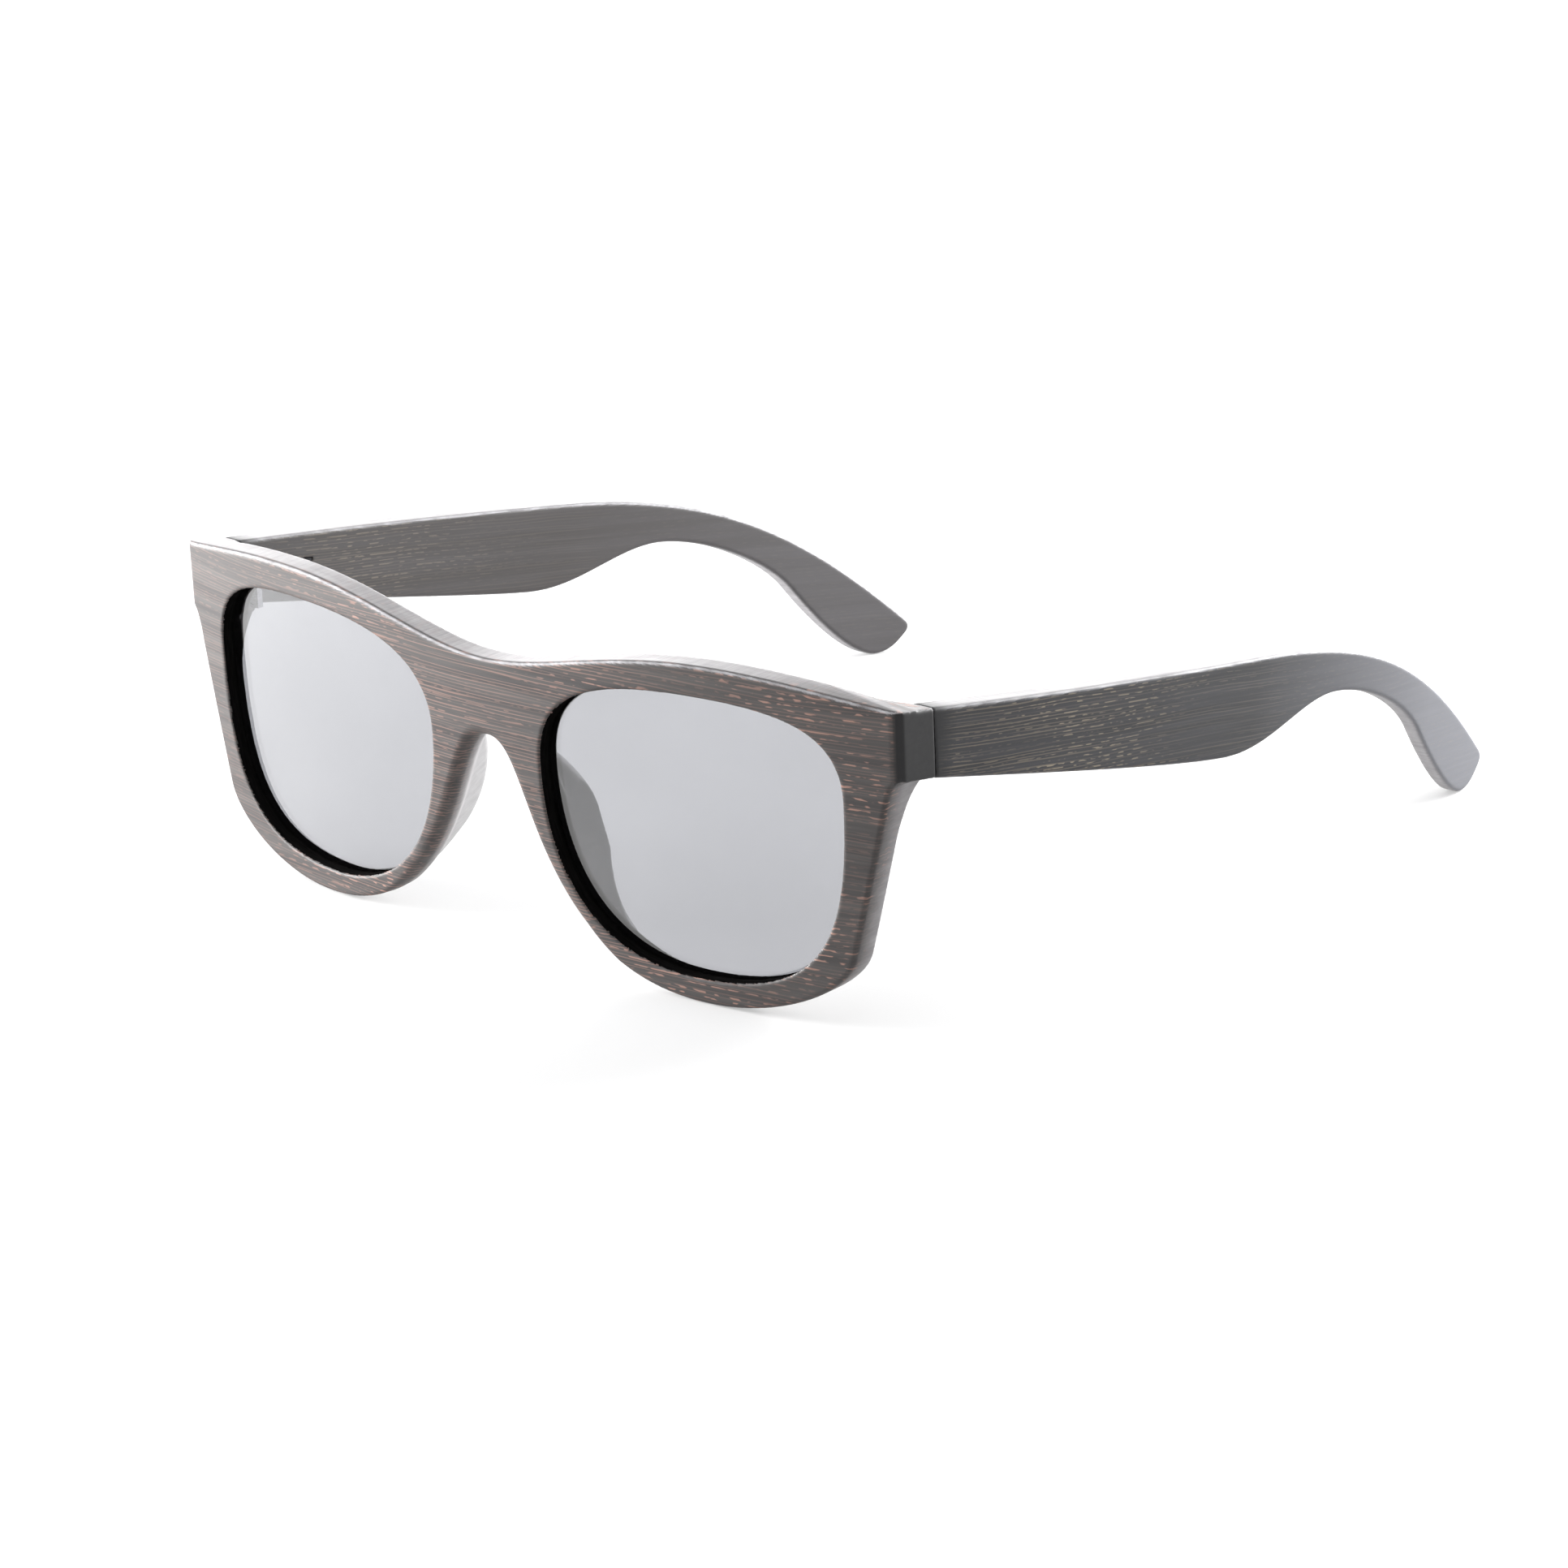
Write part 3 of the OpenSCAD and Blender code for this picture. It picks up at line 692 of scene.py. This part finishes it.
def matt_black_walls():
    """Matt black on the walls inside the openings, with fine streaks along the rim."""
    n = Nodes("opening_black")
    marks = n.noise(n.scaled(n.tagged("grain", "Vector"), (0.3, 0.3, 4.0)), detail=3)
    n.paint(n.mix(n.spread(marks), *WALL_BLACK), n.spread(marks, 0.5, 0.62))
    n.shader.inputs["Specular IOR Level"].default_value = 0.0
    n.bump(marks, 0.00001, 0.3)
    return n.material


def mirrored_grey():
    """Grey lens with a clear coat that mirrors lightly, not quite evenly tinted."""
    n = Nodes("lens_grey")
    place = n.add("TexCoord").outputs["Object"]
    film = n.noise(place, scale=45)
    polish = n.noise(place, scale=160, detail=3)
    n.paint(n.mix(n.spread(film), *LENS_TINT), n.spread(polish, 0.015, 0.035))
    n.shader.inputs["Transmission Weight"].default_value = 1.0
    n.shader.inputs["IOR"].default_value = 1.5
    n.shader.inputs["Coat Weight"].default_value = 1.0
    n.shader.inputs["Coat IOR"].default_value = 1.75
    n.shader.inputs["Coat Roughness"].default_value = 0.02
    n.bump(n.noise(place, scale=60, detail=1), 0.00001, 0.2)
    return n.material


def steel(name, pale, dark, rough):
    """Turned steel: fine marks, small scratches and a slightly uneven polish."""
    n = Nodes(name)
    place = n.add("TexCoord").outputs["Object"]
    marks = n.noise(n.scaled(place, (1500, 1500, 9000)))
    cloud = n.noise(place, scale=700, detail=3)
    n.paint(n.mix(n.spread(cloud), pale, dark), n.spread(marks, rough - 0.06, rough + 0.1))
    n.shader.inputs["Metallic"].default_value = 1.0
    n.bump(marks, 0.000004, 0.4)
    return n.material


front_wood = bamboo(
    "bamboo_front", colour(66, 63, 63), colour(83, 80, 79), colour(160, 126, 114),
    spacing=0.85, dash=2.0, long_share=0.5, fade=(200, 300), inside=1.0,
)
temple_wood = bamboo(
    "bamboo_temple", colour(44, 44, 47), colour(60, 60, 64), colour(160, 148, 130),
    spacing=0.65, dash=1.8, long_share=0.4, fade=(24, 70), inside=0.4,
)
opening_black = matt_black_walls()
lens_grey = mirrored_grey()
bright_steel = steel("steel_bright", colour(196, 196, 200), colour(172, 172, 178), 0.28)
black_steel = steel("steel_black", colour(66, 65, 67), colour(50, 50, 53), 0.42)
dark_steel = steel("steel_screw", colour(150, 150, 154), colour(122, 122, 128), 0.34)
spring_steel = steel("steel_spring", colour(176, 178, 184), colour(140, 142, 150), 0.24)


def upper_edge(up):
    """Share of painted highlight on edges that turn from a side to the top, by the height of the normal.
    """
    return ramp(up, 0.3, 0.5) * ramp(up, 0.9, 0.75)


def opening_wall(x, z, depth):
    """Share of the walls of the openings, just behind the face."""
    return ramp(np.abs(opening_outline(x, z)), 0.32, 0.16) * ramp(depth, 0.2, 0.35)


def tag_front(piece, points):
    """Marks the front's grain, pale sides, painted reflections on the top and the pads, painted
    highlights along the upper edges, and plain dark faces.
    """
    x, y, z = np.abs(points[:, 0]), points[:, 1], points[:, 2]
    depth = front_depth(x, y)
    edge = front_outline(x, z)
    normals = normals_of(piece)
    outward = np.sign(points[:, 0]) * normals[:, 0]
    up = normals[:, 2]
    wood = 1 - opening_wall(x, z, depth)

    along = WRAP_RADIUS * np.arcsin(points[:, 0] / WRAP_RADIUS)
    tag(piece, "grain", np.stack([along, z, depth], axis=1))

    # Pale on the sides all around, partly sanded wood and partly painted reflection; painted reflection
    # on the top and on the pads' inner faces
    by_nose = ramp(x, 30, 26)
    to_nose = by_nose * ramp(outward, 0, -0.5) * ramp(z, 40, 38)
    on_pad = to_nose * ramp(depth, 1.2, 6.2)
    upper = ramp(up, 0.55, 0.75) * ramp(depth, 0.5, 0.8)
    # Less painted reflection on the top toward the end at +X
    upper *= 1 - 0.7 * ramp(points[:, 0], 50, 64)
    end_side = ramp(x, HALF - 1.5, HALF - 1) * ramp(outward, 0.5, 0.7)
    beside = ramp(edge, -0.48, -0.18) * ramp(depth, 0.4, 3.6)
    beside *= 1 - to_nose * ramp(depth, 4.3, 0.3)
    tag(piece, "side", np.maximum.reduce([beside * (1 - end_side), upper, on_pad]) * wood)
    tag(piece, "pad", on_pad * wood)

    # Painted highlight along the upper edge, and dark on the ends and on the pads' outer faces
    near = ramp(edge, -1.28, -0.48) * ramp(z, 36, 40)
    tag(piece, "edge", upper_edge(up) * near * wood)
    flank = ramp(depth, FRONT_THICKNESS, FRONT_THICKNESS + 0.4) * by_nose * ramp(outward, 0, 0.5)
    tag(piece, "plain", np.maximum(end_side, 0.7 * flank))


def make_front():
    """The wooden front with its rims, nose pads and end pieces."""
    points, quads = carved(front_form, *FRONT_ROOM, mirrored=True)
    placed = in_part(points)
    piece = smooth_object("front_wood", placed, facing_out(placed, quads))
    tag_front(piece, points)
    finished(piece, "front", "front_frame", front_wood)

    x, y, z = np.abs(points[:, 0]), points[:, 1], points[:, 2]
    depth = front_depth(x, y)
    black_wall = opening_wall(x, z, depth) * (depth < FRONT_THICKNESS + 0.4)
    dark = (black_wall[quads].mean(axis=1) > 0.5).astype(np.int32)
    piece.data.materials.append(opening_black)
    piece.data.polygons.foreach_set("material_index", dark)


def make_temples():
    """The two wooden temples, one a mirror image of the other."""
    points, quads = carved(temple_form, *TEMPLE_ROOM)
    x, v, w = points.T
    y, z = from_temple(v, w)
    edge = temple_edge(v, w)
    outer, inner = temple_sides(x, v)
    beside = ramp(edge, -0.48, -0.18) * ramp(np.maximum(outer, inner), -0.08, -0.48)
    for side, name in SIDES:
        placed = in_part(np.stack([side * x, y, z], axis=1))
        piece = smooth_object("temple_wood_" + name, placed, facing_out(placed, quads))
        tag(piece, "grain", np.stack([v, w + GRAIN_SHIFT * side, outer], axis=1))
        # Pale on the narrow faces: partly sanded wood, partly painted reflection
        tag(piece, "side", beside)
        # Painted highlight along the temple's top edges
        tag(piece, "edge", upper_edge(normals_of(piece)[:, 2]) * ramp(edge, -0.8, -0.3))
        tag(piece, "plain", ramp(v, 4, 0))
        finished(piece, "temple_" + name, "temple_" + name, temple_wood)


def lens_faces(count, rings):
    """Faces of a lens: a fan and rings in front, the same behind, and a band around."""
    total, last = 1 + rings * count, 1 + (rings - 1) * count
    front, band = [], []
    for k in range(count):
        after = (k + 1) % count
        front.append([0, 1 + k, 1 + after])
        for a in range(1, last, count):
            front.append([a + k, a + count + k, a + count + after, a + after])
        band.append([last + k, last + k + total, last + after + total, last + after])
    back = [[index + total for index in face[:1] + face[:0:-1]] for face in front]
    return front + back + band


def make_lenses():
    """Lenses curved with the face: rings of the opening's outline, grown into the groove."""
    rim = opening_edge(LENS_STEPS)
    grown = rim + LENS_GROWTH * right_of(np.roll(rim, -1, axis=0) - np.roll(rim, 1, axis=0))
    heart = np.array([37.0, 26.0])
    rings = [heart + (grown - heart) * k / LENS_RINGS for k in range(1, LENS_RINGS + 1)]
    x, z = np.vstack([[heart]] + rings).T
    faces = lens_faces(len(rim), LENS_RINGS)
    for side, name in SIDES:
        layers = []
        for depth in (LENS_INSET, LENS_INSET + LENS_THICKNESS):
            y = WRAP_RADIUS - np.sqrt((WRAP_RADIUS - depth) ** 2 - x ** 2)
            layers.append(np.stack([side * x, y, z], axis=1))
        facing = [face[::side] for face in faces]
        piece = smooth_object("lens_sheet_" + name, in_part(np.vstack(layers)), facing)
        finished(piece, "front", "lens_" + name, lens_grey)


def coil_skin():
    """Points and quads of a coil of round wire, which runs along Y."""
    count, around = SPRING_RINGS * SPRING_COILS, WIRE_SIDES
    angle = 2 * np.pi * SPRING_COILS * np.arange(count + 1) / count
    climb = SPRING_TRAVEL / (2 * np.pi * SPRING_COILS)
    level = np.zeros_like(angle)
    out = np.stack([np.cos(angle), level, np.sin(angle)], axis=1)
    middle = SPRING_RADIUS * out + np.stack([level, SPRING_START + climb * angle, level], axis=1)
    run = np.stack([-SPRING_RADIUS * np.sin(angle), level + climb, SPRING_RADIUS * np.cos(angle)], axis=1)
    over = np.cross(run / np.linalg.norm(run, axis=1)[:, None], out)
    turn = 2 * np.pi * np.arange(around)[None, :, None] / around
    skin = middle[:, None] + WIRE_RADIUS * (np.cos(turn) * out[:, None] + np.sin(turn) * over[:, None])

    quads = []
    for start in range(0, count * around, around):
        for k in range(around):
            a, b = start + k, start + (k + 1) % around
            quads.append((a, a + around, b + around, b))
    last = count * around
    for k in range(1, around - 1, 2):
        quads.append((0, k, k + 1, k + 2))
        quads.append((last, last + k + 2, last + k + 1, last + k))
    return skin.reshape(-1, 3), np.array(quads)


def make_springs():
    """Round-wire springs in the temples."""
    skin, quads = coil_skin()
    wall = np.array([[0, BOX_WALL_AT, 0], [0, BOX_WALL_AT + 1, 0]])
    c, s = turned(TEMPLE_SPLAY)
    u, q, w = np.vstack([skin, wall]).T
    y, z = from_temple(q * c - u * s, w)
    for side, name in SIDES:
        placed = in_part(np.stack([side * (PIN_X + u * c + q * s), y, z], axis=1))
        piece = smooth_object("coil_" + name, placed[:-2], facing_out(placed, quads))
        finished(piece, "temple_" + name, "hinge_spring_" + name, spring_steel)
        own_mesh(piece)


def metal_for(name):
    """Steel for a node of the hinges."""
    if name.startswith(("spring_box", "box_screw")):
        return black_steel
    return dark_steel if "screw" in name else bright_steel


make_front()
make_temples()
make_lenses()
make_springs()

for name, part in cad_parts.items():
    if not name.startswith(("front_frame", "temple_", "lens_", "hinge_spring")):
        part.data.materials.clear()
        part.data.materials.append(metal_for(name))

# Stage, with lengths in metres
FLOOR_HALF = 6.0
ROOM_LIGHT = 0.45
ROOM_SHOWN = 1.0
# Paper and glow of the floor, first in mirrors and through lenses, then to the camera
FLOOR_PAPER = (0.3, 0.55)
FLOOR_GLOW = (0.72, 0.37)
# Glow added to the camera's floor further off
FAR_FLOOR = (0.22, 0.6)
FAR_GLOW = 0.5
LIT_POINT = Vector((0, -0.03, 0.03))
# Lamps: azimuth, elevation, distance, width, height, power
LAMPS = {
    "side_light": (-58, 9, 0.42, 0.25, 0.16, 4.4),
    "tip_light": (160, 16, 0.4, 0.25, 0.2, 2.6),
    "back_light": (212, 15, 1.2, 1.4, 0.6, 15),
    "top_light": (20, 75, 1.1, 0.9, 0.9, 2.5),
}
CAMERA_PLACE = (0.47061, -0.55447, 0.23286)
CAMERA_AZIMUTH = 41.246
CAMERA_ELEVATION = 17.309
CAMERA_LENS = 109.61
CAMERA_SENSOR = 36.0


def direction(azimuth, elevation):
    """Unit vector toward a place around the part, counted from the front."""
    (ca, sa), (ce, se) = turned(azimuth), turned(elevation)
    return Vector((sa * ce, -ca * ce, se))


def shown_apart(tree, lighting, shown):
    """Shows one shader to the camera, mirrors and lenses, and another to all other rays."""
    path = tree.nodes.new("ShaderNodeLightPath")
    seen = path.outputs["Is Camera Ray"]
    for name in ("Is Glossy Ray", "Is Transmission Ray"):
        both = tree.nodes.new("ShaderNodeMath")
        both.operation = "MAXIMUM"
        tree.links.new(seen, both.inputs[0])
        tree.links.new(path.outputs[name], both.inputs[1])
        seen = both.outputs[0]
    mix = tree.nodes.new("ShaderNodeMixShader")
    for socket, source in zip(mix.inputs, (seen, lighting, shown)):
        tree.links.new(source, socket)
    return mix.outputs[0]


def white(background, strength):
    """A background of plain white light."""
    background.inputs["Color"].default_value = (1, 1, 1, 1)
    background.inputs["Strength"].default_value = strength
    return background.outputs[0]


def make_surrounding():
    """A white surrounding, brighter to the camera and in mirrors than as a light."""
    world = bpy.data.worlds.new("studio")
    bpy.context.scene.world = world
    world.use_nodes = True
    tree = world.node_tree
    lighting = white(tree.nodes["Background"], ROOM_LIGHT)
    shown = white(tree.nodes.new("ShaderNodeBackground"), ROOM_SHOWN)
    tree.links.new(shown_apart(tree, lighting, shown), tree.nodes["World Output"].inputs["Surface"])


def floor_paper():
    """Pale paper that takes shadows and glows a little, more so far from the part."""
    n = Nodes("floor_paper")
    place = n.add("TexCoord").outputs["Object"]
    n.feed(n.shader.inputs["Base Color"], n.mix(n.noise(place, scale=300), *PAPER))
    n.shader.inputs["Roughness"].default_value = 0.9
    n.shader.inputs["Specular IOR Level"].default_value = 0.0

    direct = n.add("LightPath").outputs["Is Camera Ray"]
    away = n.add("VectorMath", operation="LENGTH")
    n.feed(away.inputs[0], place)
    far = n.product(n.span(away.outputs["Value"], *FAR_FLOOR, 0.0, FAR_GLOW), direct)
    paper = n.add("BsdfDiffuse")
    n.feed(paper.inputs["Color"], n.span(direct, 0, 1, *FLOOR_PAPER))
    glow = n.add("Emission")
    n.feed(glow.inputs["Strength"], n.calc("ADD", n.span(direct, 0, 1, *FLOOR_GLOW), far))
    lit = n.add("AddShader")
    n.feed(lit.inputs[0], paper.outputs[0])
    n.feed(lit.inputs[1], glow.outputs[0])
    shown = shown_apart(n.tree, n.shader.outputs[0], lit.outputs[0])
    n.feed(n.tree.nodes["Material Output"].inputs["Surface"], shown)
    return n.material


def make_floor():
    """The floor under the part, at z = 0."""
    size = FLOOR_HALF
    corners = [(-size, -size, 0), (size, -size, 0), (size, size, 0), (-size, size, 0)]
    mesh = bpy.data.meshes.new("floor")
    mesh.from_pydata(corners, [], [(0, 1, 2, 3)])
    mesh.materials.append(floor_paper())
    floor = linked("floor", mesh)


def softbox(name, azimuth, elevation, distance, width, height, power):
    """An area lamp that faces the middle of the part."""
    lamp = bpy.data.lights.new(name, "AREA")
    lamp.shape = "RECTANGLE"
    lamp.size = width
    lamp.size_y = height
    lamp.energy = power
    way = direction(azimuth, elevation)
    place = linked(name, lamp)
    place.location = way * distance + LIT_POINT
    place.rotation_euler = way.to_track_quat("Z", "Y").to_euler()
    place.visible_camera = False
    place.visible_transmission = False


def make_camera():
    """The photograph's view, for a square picture."""
    lens = bpy.data.cameras.new("camera")
    lens.sensor_width = CAMERA_SENSOR
    lens.lens = CAMERA_LENS
    camera = linked("camera", lens)
    camera.location = CAMERA_PLACE
    back = direction(CAMERA_AZIMUTH, CAMERA_ELEVATION)
    camera.rotation_euler = (-back).to_track_quat("-Z", "Y").to_euler()
    bpy.context.scene.camera = camera


make_surrounding()
make_floor()
for name, settings in LAMPS.items():
    softbox(name, *settings)
make_camera()
bpy.context.scene.view_settings.view_transform = "Standard"
